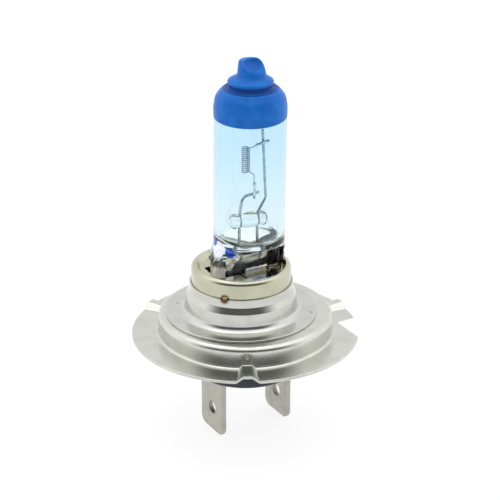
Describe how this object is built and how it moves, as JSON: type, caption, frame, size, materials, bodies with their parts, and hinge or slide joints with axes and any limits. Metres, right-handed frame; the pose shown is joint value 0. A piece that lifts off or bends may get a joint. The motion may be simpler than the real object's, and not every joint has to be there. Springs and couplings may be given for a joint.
{
  "type": "headlight bulb",
  "caption": "Halogen headlight bulb: quartz capsule with a painted blue tip in a stepped sheet-metal base with a ribbed, notched flange and flat blade terminals.",
  "frame": {"origin": "on the collar's axis, at the top face of the flange plate", "axes": "+Z along the collar's axis towards the glass tip; +X from the left terminal to the right one, through one of the flange's ribs; +Y away from the coding notch"},
  "size_m": [0.034, 0.034, 0.057],
  "materials": {
    "quartz": "clear quartz with a light blue filter tint",
    "blue_paint": "satin heat-proof paint",
    "tungsten": "drawn tungsten wire",
    "molybdenum": "smooth molybdenum wire and foil",
    "stainless": "satin pressed stainless steel",
    "cup_steel": "bright pressed steel, slightly straw-coloured",
    "weld": "heat-stained weld metal",
    "insulator": "dark heat-proof moulding",
    "terminal_plate": "matt nickel-plated brass"
  },
  "bodies": {
    "root": {"blue_tip_coat": "blue_paint", "bridge_rod": "quartz", "carrier_sleeve": "stainless", "crimp_welds": "molybdenum", "filament_coil": "tungsten", "foot_welds": "weld", "insulator_base": "insulator", "lead_welds": "weld", "long_support_wire": "molybdenum", "lower_crimp_sleeve": "molybdenum", "outer_lead_left": "molybdenum", "outer_lead_right": "molybdenum", "pinch_foil_left": "molybdenum", "pinch_foil_right": "molybdenum", "quartz_capsule": "quartz", "reference_flange": "stainless", "retaining_cup": "cup_steel", "seam_welds": "weld", "short_support_wire": "molybdenum", "terminal_left": "terminal_plate", "terminal_right": "terminal_plate", "upper_crimp_sleeve": "molybdenum"}
  },
  "joints": []
}
